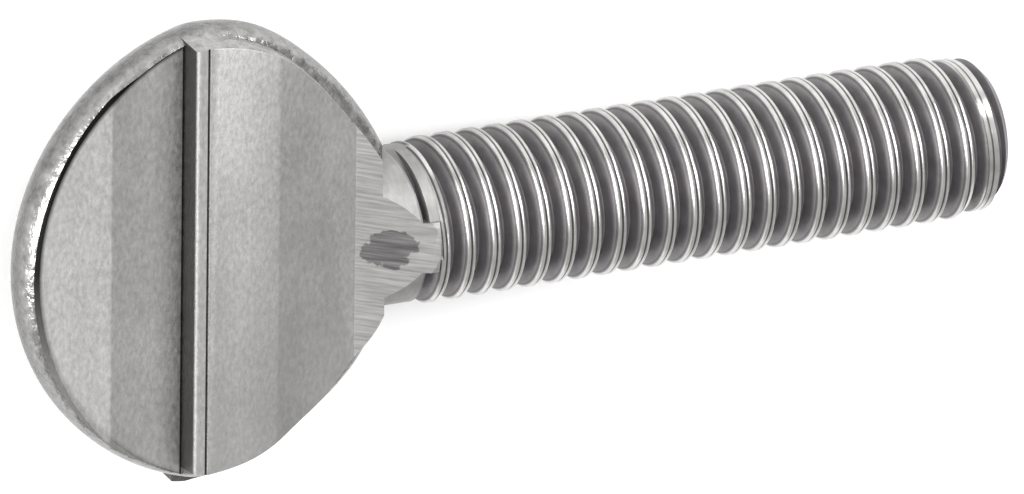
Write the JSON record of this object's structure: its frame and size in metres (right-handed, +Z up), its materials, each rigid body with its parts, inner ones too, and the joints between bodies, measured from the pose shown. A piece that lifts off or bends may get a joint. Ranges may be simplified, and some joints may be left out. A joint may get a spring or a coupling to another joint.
{
  "type": "thumb screw",
  "caption": "Thumb screw pressed from one piece: a flat oval head with a stepped pad on each face, and a round shank with a rolled thread and a chamfered tip.",
  "frame": {"origin": "on the table, under the middle of the screw's bounding box, with the screw lying as it comes to rest", "axes": "+X runs along the shank to the tip, +Y across the head towards the edge that touches the table, +Z up from the table"},
  "size_m": [0.0384, 0.0174, 0.006],
  "materials": {
    "bright_steel": "satin, as pressed"
  },
  "bodies": {
    "root": {"thumb_screw": "bright_steel"}
  },
  "joints": []
}
